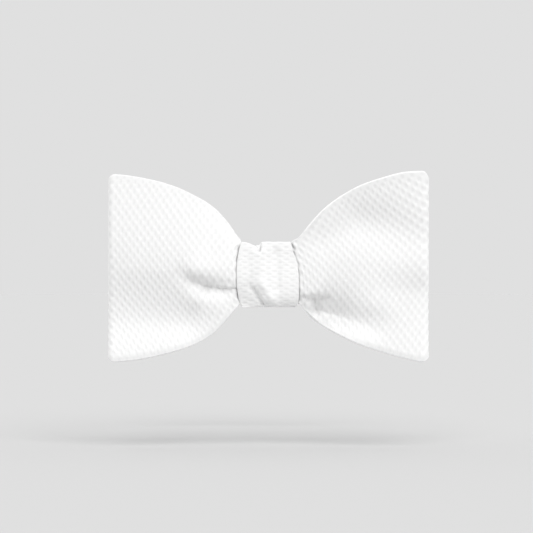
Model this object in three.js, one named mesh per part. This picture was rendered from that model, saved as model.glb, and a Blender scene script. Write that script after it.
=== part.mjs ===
// A pre-tied bow tie in white cotton pique: two wings, each a strip of cloth folded into a hollow loop,
// gathered by a wrapped knot, on a neckband that closes at the nape with a flat two-bar clasp.
// Millimetres. +X is the right of someone facing the bow, -Y points at them, +Z is up.
// The origin is the middle of the knot's flat back, where it bears on the front of the collar.
// Depths in the tables are measured forward from the knot's back, so a depth d lies at y = -d.
import * as THREE from "three";

const { clamp, degToRad, lerp, smoothstep } = THREE.MathUtils;

// Driving dimensions.
const CLOTH = 1.4; // a wing's wall: two plies and an interlining
const END_ROLL = 1.6; // reach of the soft fold at a wing's outer end
const FALL_POWER = 2.4; // how late a wing's section falls away towards its hems
const BACK_FALL = 0.9; // how far the back comes forward at its hems
const BACK_INSET = 0.9; // how much shorter the back of a wing is at each hem
const TUCK_DEPTH = 1.5; // how far the front is pressed in where it goes under the knot
const TUCK_RISE = { from: 0, to: 1.2 }; // where it rises again, as distances from the knot

const KNOT_DEPTH = 17.6;
const KNOT_HALF_HEIGHT = 11.6;
const KNOT_WALL = 1.2;
const KNOT_TOP_RADIUS = 0.6;
const KNOT_BOTTOM_RADIUS = 3.8;
const KNOT_BACK_RADIUS = 4;
const KNOT_INNER_RADIUS = 0.3; // the least radius of its inside
const KNOT_BULGE = 0.3; // crown of the knot's front between its rounded shoulders
const KNOT_DRAW = { by: 1.2, from: 10 }; // how far its sides draw in behind that depth
const KNOT_LEAN = 0.07; // how far its front leans back, as a share of the height

const BAND_HEIGHT = 16;
const BAND_THICK = 1.6;
const BAND_EDGE = 0.5; // width of its pressed edges, which are half as thick
const BAND_DEPTH = 3.3; // of its middle line, where it runs through the knot
const BAND_HALF_WIDTH = 56;
const BAND_FRONT = { straight: 7, radius: 49 };
const BAND_BACK = { straight: 21, radius: 35 };
const NECK_STRAIGHT = 30; // straight run at each side of the neck
const TURN_BACK = 14; // length of band end folded back on itself
const PLY_GAP = 0.3;

const CLASP_BAR = { offset: 6.5, width: 1.4 };
const CLASP_RAIL = 1.6;
const CLASP_THICK = 1.4;
const CLASP_PLATE_HALF = 3.3;
const CLEARANCE = 0.3;
const LOOP_RADIUS = 2.1; // middle line of the band round a clasp bar

// How finely the cloth is divided. Near the knot a wing's stations follow the knot's edge.
const WING_STEP = 2.6;
const TUCK_STEP = 0.5;
const TUCK_SPAN = { from: -0.9, to: 2.6 }; // of the closer stations, as distances from the knot's edge
const HIDDEN_STEP = 3.5; // inside the knot
const BEND_IN = { from: 0.5, to: 9 }; // over which the stations start to follow the knot's edge
const BEND_OUT = { from: 13, to: 24 }; // over which they stop following it
const ROWS_ACROSS = [
  -1, -0.92, -0.84, -0.76, -0.68, -0.6, -0.52, -0.44, -0.36, -0.28, -0.19, -0.08,
  0.05, 0.2, 0.35, 0.5, 0.65, 0.78, 0.9, 1,
];
const FOLD_FACETS = 5;
const KNOT_FRONT_ROWS = 10;
const KNOT_CORNER_FACETS = { top: 2, back: 3, bottom: 6 };
const KNOT_COLUMNS = 18;

// The wings' sections. x is the distance from the middle of the bow, top and bottom are the hems' heights,
// front and back the depths of the two walls at mid height clear of the knot, and topFall and bottomFall
// how far the front falls back towards each hem.
const LEFT_SECTIONS = [
  { x: 0.5, top: 4.6, bottom: -7.0, front: 14.4, back: 5.4, topFall: 2.4, bottomFall: 2.4 },
  { x: 9.9, top: 8.4, bottom: -7.8, front: 16.0, back: 5.4, topFall: 2.4, bottomFall: 2.8 },
  { x: 10.6, top: 12.7, bottom: -8.3, front: 16.1, back: 5.4, topFall: 2.4, bottomFall: 2.2 },
  { x: 11.1, top: 13.4, bottom: -10.8, front: 16.2, back: 5.4, topFall: 2.4, bottomFall: 1.7 },
  { x: 11.5, top: 13.9, bottom: -11.5, front: 16.2, back: 5.4, topFall: 2.4, bottomFall: 1.1 },
  { x: 15.0, top: 19.0, bottom: -15.8, front: 16.4, back: 5.2, topFall: 2.4, bottomFall: 1.3 },
  { x: 20.0, top: 24.3, bottom: -21.1, front: 16.6, back: 4.6, topFall: 2.4, bottomFall: 0.9 },
  { x: 26.0, top: 28.0, bottom: -24.9, front: 16.8, back: 4.0, topFall: 2.2, bottomFall: 0.4 },
  { x: 33.0, top: 31.3, bottom: -27.4, front: 17.0, back: 3.6, topFall: 2.0, bottomFall: 0.0 },
  { x: 41.0, top: 33.7, bottom: -29.4, front: 17.2, back: 4.3, topFall: 1.8, bottomFall: 0.2 },
  { x: 49.0, top: 35.2, bottom: -30.8, front: 17.3, back: 6.0, topFall: 1.4, bottomFall: 0.2 },
  { x: 55.1, top: 35.8, bottom: -31.2, front: 17.2, back: 8.4, topFall: 1.4, bottomFall: 0.2 },
  { x: 56.7, top: 34.8, bottom: -30.0, front: 12.8, back: 12.8, topFall: 0.4, bottomFall: 0.2 },
];
const RIGHT_SECTIONS = [
  { x: 0.5, top: 7.0, bottom: -7.0, front: 14.4, back: 5.4, topFall: 2.4, bottomFall: 2.4 },
  { x: 8.1, top: 8.4, bottom: -7.8, front: 15.8, back: 5.4, topFall: 2.4, bottomFall: 2.8 },
  { x: 8.7, top: 11.8, bottom: -8.0, front: 15.9, back: 5.4, topFall: 1.0, bottomFall: 1.6 },
  { x: 10.5, top: 13.1, bottom: -8.8, front: 16.1, back: 5.4, topFall: 0.0, bottomFall: 0.9 },
  { x: 10.9, top: 13.5, bottom: -10.2, front: 16.1, back: 5.4, topFall: -0.3, bottomFall: 0.8 },
  { x: 11.5, top: 14.1, bottom: -10.8, front: 16.2, back: 5.4, topFall: -0.6, bottomFall: 1.0 },
  { x: 15.0, top: 18.4, bottom: -15.0, front: 16.7, back: 5.2, topFall: -1.2, bottomFall: 1.2 },
  { x: 20.0, top: 23.7, bottom: -18.8, front: 17.3, back: 4.6, topFall: -1.0, bottomFall: 0.6 },
  { x: 26.0, top: 28.2, bottom: -22.2, front: 17.7, back: 4.0, topFall: -0.6, bottomFall: 0.2 },
  { x: 33.0, top: 32.0, bottom: -25.2, front: 17.7, back: 3.6, topFall: -1.2, bottomFall: -0.4 },
  { x: 41.0, top: 34.7, bottom: -27.8, front: 17.6, back: 4.3, topFall: -1.7, bottomFall: 0.0 },
  { x: 49.0, top: 36.6, bottom: -30.0, front: 17.5, back: 6.0, topFall: -1.7, bottomFall: 0.3 },
  { x: 55.1, top: 36.9, bottom: -31.2, front: 17.3, back: 8.4, topFall: -1.0, bottomFall: 0.3 },
  { x: 56.7, top: 35.0, bottom: -30.1, front: 12.8, back: 12.8, topFall: 0.0, bottomFall: 0.2 },
];

// Folds pressed into a surface, each a valley along a line from (x, z) to (toX, toZ). depth and toDepth are
// its depths at the two ends, and above and below its half widths on its upper and lower side at the
// start, which are multiplied by spread at the far end. A negative depth is a ridge.
const LEFT_FOLDS = [
  { x: 2, z: -7.5, toX: 6, toZ: -7.5, depth: 3.0, toDepth: 2.4, above: 3, below: 3, spread: 1 },
  { x: 9, z: -6.0, toX: 21.5, toZ: -4.0, depth: 1.2, toDepth: 2.5, above: 0.9, below: 2.3, spread: 1.7 },
  { x: 26.6, z: -2.1, toX: 30.5, toZ: 0.8, depth: 1.6, toDepth: 0.7, above: 2.2, below: 4.0, spread: 1.2 },
  { x: 18, z: -10.5, toX: 26.5, toZ: -9.4, depth: -0.4, toDepth: -0.5, above: 2.8, below: 3.6, spread: 1 },
  { x: 14, z: -0.8, toX: 25, toZ: 0.5, depth: -0.8, toDepth: -1.2, above: 6.5, below: 2.0, spread: 1 },
  { x: 30, z: -17, toX: 57, toZ: -14.5, depth: 3.0, toDepth: 3.9, above: 8.5, below: 7, spread: 1.8 },
  { x: 27, z: 3.0, toX: 42, toZ: 3.0, depth: -2.0, toDepth: -0.8, above: 16, below: 5, spread: 1.2 },
];
const RIGHT_FOLDS = [
  { x: 9.5, z: -7.9, toX: 20.5, toZ: -8.4, depth: 0.9, toDepth: 1.5, above: 0.9, below: 1.6, spread: 1.4 },
  { x: 12, z: -10.5, toX: 15.5, toZ: -13, depth: 1.0, toDepth: 1.2, above: 2.4, below: 2.4, spread: 1 },
  { x: 12.5, z: -14, toX: 18, toZ: -15, depth: 2.0, toDepth: 3.8, above: 3.8, below: 5, spread: 2.1 },
  { x: 26.5, z: -17.2, toX: 36, toZ: -19, depth: 3.7, toDepth: 1.6, above: 9.5, below: 5.5, spread: 0.7 },
  { x: 16.2, z: -9.5, toX: 17.4, toZ: -13.5, depth: 2.2, toDepth: 1.9, above: 2.2, below: 1.8, spread: 1 },
  { x: 18.5, z: -12.4, toX: 34, toZ: -17.2, depth: 0.9, toDepth: 0.5, above: 2.6, below: 1.5, spread: 1.5 },
  { x: 38.5, z: -11, toX: 43, toZ: -13, depth: -0.4, toDepth: -0.3, above: 4.5, below: 3, spread: 1 },
  { x: 20, z: 12.5, toX: 31, toZ: 18.5, depth: 1.2, toDepth: 1.8, above: 7, below: 6, spread: 1.2 },
  { x: 42, z: 16.8, toX: 57, toZ: 11.5, depth: 2.0, toDepth: 1.5, above: 8, below: 9, spread: 1 },
  { x: 38, z: -6, toX: 57, toZ: -7.5, depth: 0.3, toDepth: 3.8, above: 8, below: 20, spread: 1 },
];
// The gathers on the hidden back of each wing.
const BACK_FOLDS = [
  { x: 0, z: 3, toX: 30, toZ: 11, depth: -1.6, toDepth: 0, above: 2.2, below: 2.2, spread: 2.4 },
  { x: 0, z: -3, toX: 30, toZ: -9, depth: -1.6, toDepth: 0, above: 2.2, below: 2.2, spread: 2.4 },
];
// The knot's folds, laid out on its unrolled front: z is the distance along the cloth from mid height.
const KNOT_FOLDS = [
  { x: -3.5, z: 25, toX: -3.4, toZ: 10.5, depth: 1.5, toDepth: 1.5, above: 0.6, below: 3.6, spread: 1 },
  { x: -3.2, z: 17, toX: -3.1, toZ: 8.5, depth: 1.2, toDepth: 0.9, above: 0.7, below: 1.1, spread: 1 },
  { x: -4.8, z: -6.2, toX: -1.0, toZ: -13, depth: 1.6, toDepth: 2.4, above: 0.9, below: 4.5, spread: 1 },
  { x: -14, z: -14.2, toX: -9, toZ: -13.8, depth: 3.0, toDepth: 3.0, above: 8.2, below: 4.0, spread: 1 },
  { x: -3.0, z: -2.6, toX: 3.4, toZ: -12.6, depth: -0.5, toDepth: -0.8, above: 1.6, below: 1.1, spread: 1 },
  { x: -2.6, z: 7.5, toX: -2.2, toZ: -3.8, depth: -0.6, toDepth: -0.7, above: 2.2, below: 2.0, spread: 1 },
  { x: 2.8, z: 8, toX: 3.2, toZ: -5, depth: 0.6, toDepth: 0.6, above: 1.3, below: 1.3, spread: 1 },
  { x: -7.2, z: 8, toX: -6.8, toZ: -4, depth: 0.5, toDepth: 0.7, above: 1.6, below: 1.8, spread: 1 },
  { x: -14, z: 10.9, toX: 14, toZ: 10.7, depth: -0.4, toDepth: -0.4, above: 1.0, below: 3.5, spread: 1 },
  { x: 4.5, z: -11.8, toX: 14, toZ: -11.2, depth: 1.0, toDepth: 1.0, above: 4.0, below: 2.5, spread: 1 },
];
// The knot's two edges at each height, seen from the front, and how far each wing's cloth stays off them.
const KNOT_EDGES = [
  { z: -11.6, left: -10.1, right: 10.5, leftGap: 0.5, rightGap: 0.4 },
  { z: -6.6, left: -11.0, right: 10.9, leftGap: 0.5, rightGap: 0.4 },
  { z: -2.0, left: -11.4, right: 10.9, leftGap: 0.5, rightGap: 0.4 },
  { z: 2.0, left: -11.4, right: 10.6, leftGap: 0.5, rightGap: 0.4 },
  { z: 5.2, left: -11.2, right: 9.9, leftGap: 0.5, rightGap: 0.5 },
  { z: 7.8, left: -10.8, right: 9.0, leftGap: 0.5, rightGap: 0.6 },
  { z: 11.6, left: -9.7, right: 7.9, leftGap: 0.5, rightGap: 0.6 },
];

const WHITE = { color: 0xf6f6f4, roughness: 0.9, metalness: 0 };
const STEEL = { color: 0xc9cbce, roughness: 0.3, metalness: 1 };

// A smooth curve through one column of a table, which never overshoots between two rows.
function curveThrough(rows, column, along = "x") {
  const xs = rows.map((row) => row[along]);
  const ys = rows.map((row) => row[column]);
  const slopes = ys.slice(1).map((y, i) => (y - ys[i]) / (xs[i + 1] - xs[i]));
  const tangents = ys.map((_, i) => {
    const before = slopes[i - 1] ?? slopes[i];
    const after = slopes[i] ?? slopes[i - 1];
    return before * after > 0 ? (2 * before * after) / (before + after) : 0;
  });
  return (x) => {
    const next = xs.findIndex((edge) => x < edge);
    if (next === 0) return ys[0];
    if (next < 0) return ys[ys.length - 1];
    const i = next - 1;
    const span = xs[next] - xs[i];
    const t = (x - xs[i]) / span;
    const rise = t * t * (3 - 2 * t);
    const bend = t * (1 - t) * span;
    return ys[i] * (1 - rise) + ys[next] * rise + bend * ((1 - t) * tangents[i] - t * tangents[next]);
  };
}

// How deep the folds press a surface in at the point (x, z).
function foldDepth(folds, x, z) {
  let total = 0;
  for (const fold of folds) {
    const run = fold.toX - fold.x;
    const rise = fold.toZ - fold.z;
    const length = Math.hypot(run, rise);
    const along = ((x - fold.x) * run + (z - fold.z) * rise) / length ** 2;
    const share = clamp(along, 0, 1);
    const beyond = (along - share) * length;
    const aside = ((z - fold.z) * run - (x - fold.x) * rise) / length;
    const side = aside * Math.sign(run) > 0 ? fold.above : fold.below;
    const reach = (fold.above + fold.below) / 2;
    const spread = lerp(1, fold.spread, share);
    const depth = lerp(fold.depth, fold.toDepth, share);
    total += depth * Math.exp(-((aside / side) ** 2 + (beyond / reach) ** 2) / spread ** 2);
  }
  return total;
}

// Closes two grids of points, an outside and an inside skin, into one solid. A looped grid joins its last
// row to its first.
function closeSkins(outside, inside, looped) {
  const rows = outside.length;
  const columns = outside[0].length;
  const at = (skin, row, column) => (skin * rows + (row % rows)) * columns + column;
  const faces = [];
  const quad = (a, b, c, d) => faces.push(a, b, c, a, c, d);
  const steps = looped ? rows : rows - 1;
  for (let r = 0; r < steps; r++) {
    for (let c = 0; c < columns - 1; c++) {
      quad(at(0, r, c), at(0, r, c + 1), at(0, r + 1, c + 1), at(0, r + 1, c));
      quad(at(1, r, c), at(1, r + 1, c), at(1, r + 1, c + 1), at(1, r, c + 1));
    }
    quad(at(0, r, 0), at(0, r + 1, 0), at(1, r + 1, 0), at(1, r, 0));
    const c = columns - 1;
    quad(at(0, r, c), at(1, r, c), at(1, r + 1, c), at(0, r + 1, c));
  }
  for (let c = 0; !looped && c < columns - 1; c++) {
    const r = rows - 1;
    quad(at(0, 0, c), at(1, 0, c), at(1, 0, c + 1), at(0, 0, c + 1));
    quad(at(0, r, c), at(0, r, c + 1), at(1, r, c + 1), at(1, r, c));
  }
  const points = [...outside.flat(), ...inside.flat()];
  return new THREE.BufferGeometry().setFromPoints(points).setIndex(faces);
}

// The distance of one side of the knot from its middle, and the gap that the wing keeps, at each height.
function knotSide(side) {
  const name = side > 0 ? "right" : "left";
  const edge = curveThrough(KNOT_EDGES, name, "z");
  return { edge: (z) => side * edge(z), gap: curveThrough(KNOT_EDGES, `${name}Gap`, "z") };
}

// Even steps from one distance up to, and without, another.
function steps(from, to, longest) {
  const count = Math.round((to - from) / longest);
  return Array.from({ length: count }, (_, k) => lerp(from, to, k / count));
}

// The stations along a wing's strip: out along the front, round the end fold, and back along the back.
// Each has a distance x from the middle of the bow, and a turn from 1 on the front to -1 on the back.
function wingStations(sections, side) {
  const rollStart = sections[sections.length - 2].x;
  const beside = knotSide(side).edge(0);
  const outward = (longest) => [
    ...steps(sections[0].x, beside + TUCK_SPAN.from, HIDDEN_STEP),
    ...steps(beside + TUCK_SPAN.from, beside + TUCK_SPAN.to, TUCK_STEP),
    ...steps(beside + TUCK_SPAN.to, rollStart, longest),
  ];
  const front = outward(WING_STEP).map((x) => ({ x, turn: 1 }));
  const roll = Array.from({ length: FOLD_FACETS + 1 }, (_, k) => {
    const angle = Math.PI * (0.5 - k / FOLD_FACETS);
    return { x: rollStart + END_ROLL * Math.cos(angle), turn: Math.sin(angle) };
  });
  const back = outward(2 * WING_STEP).map((x) => ({ x, turn: -1 }));
  return [...front, ...roll, ...back.reverse()];
}

// The middle surface of a wing, as a function of a station and of w, which runs from -1 at the bottom hem
// to 1 at the top hem. side is 1 for the right wing and -1 for the left.
function wingSurface(sections, folds, side) {
  const columns = ["top", "bottom", "front", "back", "topFall", "bottomFall"];
  const [top, bottom, front, back, topFall, bottomFall] = columns.map((name) => curveThrough(sections, name));
  const { edge, gap } = knotSide(side);
  const beside = edge(0);
  const rollStart = sections[sections.length - 2].x;
  return (station, turn, w) => {
    const height = lerp(bottom(beside), top(beside), (1 + w) / 2);
    const bendIn = smoothstep(station, BEND_IN.from, BEND_IN.to);
    const bendOut = smoothstep(station, BEND_OUT.from, BEND_OUT.to);
    const x = station + (edge(height) - beside) * bendIn * (1 - bendOut);
    const wallX = Math.min(x, rollStart);
    const inset = (BACK_INSET * (1 - turn)) / 2;
    const z = lerp(bottom(x) + inset, top(x) - inset, (1 + w) / 2);
    const towardsHem = Math.abs(w) ** FALL_POWER;
    const fall = (w > 0 ? topFall(wallX) : bottomFall(wallX)) * towardsHem;
    const risen = smoothstep(x - edge(z) - gap(z), TUCK_RISE.from, TUCK_RISE.to);
    const frontDepth = front(wallX) - fall - TUCK_DEPTH * (1 - risen);
    const backDepth = back(wallX) + BACK_FALL * towardsHem;
    const frontShare = (1 + turn) / 2;
    const pressed = lerp(foldDepth(BACK_FOLDS, x, z), foldDepth(folds, x, z), frontShare);
    return new THREE.Vector3(side * x, pressed - lerp(backDepth, frontDepth, frontShare), z);
  };
}

function wingGeometry(sections, folds, side) {
  const surface = wingSurface(sections, folds, side);
  const stations = wingStations(sections, side);
  const middle = stations.map(({ x, turn }) => ROWS_ACROSS.map((w) => surface(x, turn, w)));
  const neighbour = (list, index) => list[clamp(index, 0, list.length - 1)];
  const skin = (offset) =>
    middle.map((row, r) =>
      row.map((point, c) => {
        const along = neighbour(middle, r + 1)[c].clone().sub(neighbour(middle, r - 1)[c]);
        const up = neighbour(row, c + 1).clone().sub(neighbour(row, c - 1));
        const outward = along.cross(up).normalize().multiplyScalar(side * offset);
        return point.clone().add(outward);
      })
    );
  const outside = skin(CLOTH / 2);
  const inside = skin(-CLOTH / 2);
  return side > 0 ? closeSkins(inside, outside, false) : closeSkins(outside, inside, false);
}

// The knot's cross section, a rounded block seen along X. Each of its points has a place on the outer and on
// the inner face as a depth and a height, an outward normal, and the distance along the cloth from the middle
// of the front.
function knotSection() {
  const points = [];
  const place = (forward, upward, inset, radius, normal) => ({
    depth: KNOT_DEPTH / 2 + forward * (KNOT_DEPTH / 2 - inset - radius) + radius * normal.depth,
    height: upward * (KNOT_HALF_HEIGHT - inset - radius) + radius * normal.height,
  });
  const corner = (forward, upward, radius, quarters, facets) => {
    const innerRadius = Math.max(radius - KNOT_WALL, KNOT_INNER_RADIUS);
    for (let k = 0; k <= facets; k++) {
      const angle = (Math.PI / 2) * (quarters + k / facets);
      const normal = { depth: Math.cos(angle), height: Math.sin(angle) };
      const outer = place(forward, upward, 0, radius, normal);
      const inner = place(forward, upward, KNOT_WALL, innerRadius, normal);
      points.push({ outer, inner, normal });
    }
  };
  corner(1, 1, KNOT_TOP_RADIUS, 0, KNOT_CORNER_FACETS.top);
  corner(-1, 1, KNOT_BACK_RADIUS, 1, KNOT_CORNER_FACETS.back);
  corner(-1, -1, KNOT_BACK_RADIUS, 2, KNOT_CORNER_FACETS.back);
  corner(1, -1, KNOT_BOTTOM_RADIUS, 3, KNOT_CORNER_FACETS.bottom);
  const bottom = points[points.length - 1];
  const top = points[0];
  for (let k = 1; k < KNOT_FRONT_ROWS; k++) {
    const share = k / KNOT_FRONT_ROWS;
    const between = (face) => ({
      depth: lerp(bottom[face].depth, top[face].depth, share),
      height: lerp(bottom[face].height, top[face].height, share),
    });
    points.push({ outer: between("outer"), inner: between("inner"), normal: top.normal });
  }
  const spans = points.map(({ outer }, i) => {
    const next = points[(i + 1) % points.length].outer;
    return Math.hypot(next.depth - outer.depth, next.height - outer.height);
  });
  const round = spans.reduce((sum, span) => sum + span, 0);
  let run = top.outer.height;
  points.forEach((point, i) => {
    const level = Math.max(0, point.normal.depth);
    point.cloth = run > round / 2 ? run - round : run;
    point.bulge = KNOT_BULGE * level * Math.cos(((point.outer.height / KNOT_HALF_HEIGHT) * Math.PI) / 2);
    run += spans[i];
  });
  return points;
}

// The folds press the upper half of the knot in along its normal, and the lower half only towards its back.
function knotGeometry() {
  const left = curveThrough(KNOT_EDGES, "left", "z");
  const right = curveThrough(KNOT_EDGES, "right", "z");
  const section = knotSection();
  const skin = (face) =>
    section.map(({ outer, normal, cloth, bulge, [face]: base }) => {
      const draw = KNOT_DRAW.by * (1 - smoothstep(outer.depth, KNOT_DRAW.from, KNOT_DEPTH));
      const from = left(outer.height) + draw;
      const to = right(outer.height) - draw;
      const leaning = base.depth * (1 - (KNOT_LEAN * base.height) / KNOT_DEPTH);
      const lift = outer.height > 0 ? normal.height : 0;
      return Array.from({ length: KNOT_COLUMNS + 1 }, (_, k) => {
        const x = lerp(from, to, k / KNOT_COLUMNS);
        const out = bulge - foldDepth(KNOT_FOLDS, x, cloth);
        return new THREE.Vector3(x, -(leaning + out * normal.depth), base.height + out * lift);
      });
    });
  return closeSkins(skin("outer"), skin("inner"), true);
}

// The neckband's middle line seen from above, from the end folded back at one clasp bar, round the neck
// and through the knot, to the other. Half is made and mirrored.
function neckbandLine() {
  const backY = -BAND_DEPTH + BAND_FRONT.radius + NECK_STRAIGHT + BAND_BACK.radius;
  const barY = backY - LOOP_RADIUS;
  const plyDrop = BAND_THICK + PLY_GAP;
  const half = [];
  const turnSteps = 8;
  for (let k = 0; k <= turnSteps; k++) {
    const run = TURN_BACK * (1 - k / turnSteps);
    const closing = smoothstep(run, 0, 6);
    half.push([CLASP_BAR.offset + run, backY - lerp(2 * LOOP_RADIUS, plyDrop, closing)]);
  }
  const arc = (x, y, radius, from, to, steps) => {
    for (let k = 1; k <= steps; k++) {
      const angle = degToRad(from + ((to - from) * k) / steps);
      half.push([x + radius * Math.cos(angle), y + radius * Math.sin(angle)]);
    }
  };
  arc(CLASP_BAR.offset, barY, LOOP_RADIUS, 270, 90, 8);
  half.push([BAND_BACK.straight, backY]);
  arc(BAND_BACK.straight, backY - BAND_BACK.radius, BAND_BACK.radius, 90, 0, 12);
  half.push([BAND_HALF_WIDTH, BAND_FRONT.radius - BAND_DEPTH]);
  arc(BAND_FRONT.straight, BAND_FRONT.radius - BAND_DEPTH, BAND_FRONT.radius, 0, -90, 14);
  const points = half.map(([x, y]) => new THREE.Vector2(x, y));
  return [...points, ...points.map((p) => new THREE.Vector2(-p.x, p.y)).reverse()];
}

function neckbandGeometry() {
  const line = neckbandLine();
  const half = BAND_HEIGHT / 2;
  const heights = [-half, BAND_EDGE - half, half - BAND_EDGE, half];
  const skin = (side) =>
    line.map((point, i) => {
      const before = line[Math.max(i - 1, 0)];
      const after = line[Math.min(i + 1, line.length - 1)];
      const ahead = after.clone().sub(before).normalize();
      return heights.map((z) => {
        const offset = side * (Math.abs(z) < half ? BAND_THICK / 2 : BAND_THICK / 4);
        return new THREE.Vector3(point.x - ahead.y * offset, point.y + ahead.x * offset, z);
      });
    });
  return closeSkins(skin(1), skin(-1), false);
}

function roundedRectangle(path, left, bottom, right, top, radius) {
  const quarter = Math.PI / 2;
  path.absarc(right - radius, top - radius, radius, 0, quarter);
  path.absarc(left + radius, top - radius, radius, quarter, 2 * quarter);
  path.absarc(left + radius, bottom + radius, radius, 2 * quarter, 3 * quarter);
  path.absarc(right - radius, bottom + radius, radius, 3 * quarter, 4 * quarter);
  path.closePath();
  return path;
}

// A flat plate with two slots, each leaving a bar at its outer side for an end of the neckband.
function claspGeometry() {
  const halfWidth = CLASP_BAR.offset + CLASP_BAR.width / 2;
  const slotHalf = BAND_HEIGHT / 2 + CLEARANCE;
  const halfHeight = slotHalf + CLASP_RAIL;
  const plate = roundedRectangle(new THREE.Shape(), -halfWidth, -halfHeight, halfWidth, halfHeight, 1.2);
  const barEdge = CLASP_BAR.offset - CLASP_BAR.width / 2;
  for (const [from, to] of [[CLASP_PLATE_HALF, barEdge], [-barEdge, -CLASP_PLATE_HALF]]) {
    plate.holes.push(roundedRectangle(new THREE.Path(), from, -slotHalf, to, slotHalf, 0.2));
  }
  const flat = { depth: CLASP_THICK, bevelEnabled: false, curveSegments: 4 };
  const geometry = new THREE.ExtrudeGeometry(plate, flat);
  const backY = -BAND_DEPTH + BAND_FRONT.radius + NECK_STRAIGHT + BAND_BACK.radius;
  return geometry.rotateX(Math.PI / 2).translate(0, backY - LOOP_RADIUS + CLASP_THICK / 2, 0);
}

function piece(name, geometry, finish) {
  const mesh = new THREE.Mesh(geometry, new THREE.MeshStandardMaterial({ name, ...finish }));
  mesh.name = name;
  return mesh;
}

const bow = new THREE.Group();
bow.add(
  piece("left_wing", wingGeometry(LEFT_SECTIONS, LEFT_FOLDS, -1), WHITE),
  piece("right_wing", wingGeometry(RIGHT_SECTIONS, RIGHT_FOLDS, 1), WHITE),
  piece("knot", knotGeometry(), WHITE)
);

const strap = new THREE.Group();
strap.add(piece("neckband", neckbandGeometry(), WHITE), piece("clasp", claspGeometry(), STEEL));

const bowTie = new THREE.Group();
bowTie.add(bow, strap);

export default bowTie;
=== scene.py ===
"""Dresses a pre-tied bow tie in white cotton pique, on a pale floor under soft studio light.

The cloth is worked out from the same named sizes and tables as the solids that it replaces, in finer steps.
Sizes and tables are in millimetres. x is the distance from the middle of the bow, and depths are measured
forward from the flat back of the knot, so a depth d lies at y = -d."""

import math

import bpy
import numpy as np
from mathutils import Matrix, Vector


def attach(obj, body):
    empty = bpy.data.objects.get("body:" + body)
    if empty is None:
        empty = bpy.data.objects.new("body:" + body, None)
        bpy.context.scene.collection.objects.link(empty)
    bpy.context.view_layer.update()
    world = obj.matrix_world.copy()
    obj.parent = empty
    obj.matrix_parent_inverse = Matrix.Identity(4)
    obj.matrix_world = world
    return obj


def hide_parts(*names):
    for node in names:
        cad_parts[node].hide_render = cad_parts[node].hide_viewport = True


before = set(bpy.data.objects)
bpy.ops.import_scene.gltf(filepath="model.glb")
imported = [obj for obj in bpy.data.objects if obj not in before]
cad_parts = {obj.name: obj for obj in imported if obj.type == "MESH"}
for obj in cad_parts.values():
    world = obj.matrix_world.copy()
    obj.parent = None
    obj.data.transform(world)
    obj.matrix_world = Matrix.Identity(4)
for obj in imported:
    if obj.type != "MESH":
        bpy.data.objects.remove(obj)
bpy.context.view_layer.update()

bl_info = {
    "name": "Pre-tied bow tie",
    "version": (1, 0, 0),
    "blender": (4, 5, 0),
    "location": "View3D > Sidebar > Bow tie",
    "description": "Makes the cloth of a pre-tied bow tie and the studio round it",
    "category": "Add Mesh",
}

MM = 0.001

# Sizes of the wings. A hem is the rounded edge of a strip, with the same number of facets on every piece.
CLOTH = 1.4  # thickness of each wall
HEM_REACH = 0.35  # of the round of a wing's hems
HEM_FACETS = 6
END_ROLL = 1.6  # radius of the fold at the outer end
FALL_POWER = 2.4  # how late the walls fall away towards their hems
BACK_FALL = 0.9
BACK_INSET = 0.9  # how much shorter the back wall is at each hem
BOTTOM_ROLL = 0.45  # how far the front rolls back at its bottom hem
BOTTOM_REACH = 2.0  # height over which it does
ROLL_FROM = (12.0, 22.0)  # where that roll sets in, away from the knot
TUCK_DEPTH = 0.6  # how far the cloth is pressed down where it goes into the knot
TUCK_RISE = (0.0, 0.6)  # where it rises beside the knot, as distances from it
BEND_IN = (0.5, 9.0)  # over which the stations start to follow the knot's edge
BEND_OUT = (13.0, 24.0)  # over which they stop following it
TUCK_SPAN = (-0.8, 2.4)  # of closer stations, as distances from the knot's edge
TUCK_STEP = 0.13
HIDDEN_STEP = 1.0  # between stations of the gathered ends inside the knot
FRONT_STEP = 0.28
BACK_STEP = 0.42
ROLL_FACETS = 14
WING_ROWS = 216
INSIDE_ROWS = 44

# Sizes of the knot.
KNOT_DEPTH = 17.6
KNOT_HALF_HEIGHT = 11.6
KNOT_WALL = 1.2
KNOT_HEM = 0.35  # reach of the round of its sides
KNOT_TOP_RADIUS = 0.6
KNOT_BOTTOM_RADIUS = 3.8
KNOT_BACK_RADIUS = 4.0
KNOT_INNER_RADIUS = 0.3  # the least radius of its inside
KNOT_BULGE = 0.3  # how far the middle of its front stands out
KNOT_DRAW = 1.2  # how much narrower it gets on each side towards the back
KNOT_DRAW_FROM = 10.0  # depth at which it is that narrow
KNOT_LEAN = 0.07  # how far its front leans back, as a share of the height
KNOT_LIP = (8.4, 10.8)  # heights over which its front is drawn down with its top edge
KNOT_STEP = 0.27  # round it
KNOT_COLUMNS = 81
KNOT_INSIDE_COLUMNS = 12
CORNER_POINTS = 25

# Sizes of the neckband. Its middle line runs straight through the knot, round each side of the neck in two
# arcs with a straight between them, and straight along the nape, where each end turns back round a bar.
BAND_HEIGHT = 16.0
BAND_THICK = 1.6
BAND_DEPTH = 3.3  # of its middle line inside the knot
BAND_HALF_WIDTH = 56.0
BAND_FRONT_STRAIGHT = 7.0
BAND_FRONT_RADIUS = 49.0
BAND_BACK_STRAIGHT = 21.0
BAND_BACK_RADIUS = 35.0
NECK_STRAIGHT = 30.0
TURN_BACK = 14.0  # length of an end's fold
TURN_SPREAD = 6.0  # length over which its two plies part towards the bar
PLY_GAP = 0.3
BAR_OFFSET = 6.5
LOOP_RADIUS = 2.1
TURN_POINTS = 40
LOOP_FACETS = 24
BACK_FACETS = 60
FRONT_FACETS = 80
BAND_STEP = 0.45
BAND_ROWS = 40
BAND_INSIDE_ROWS = 24

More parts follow.
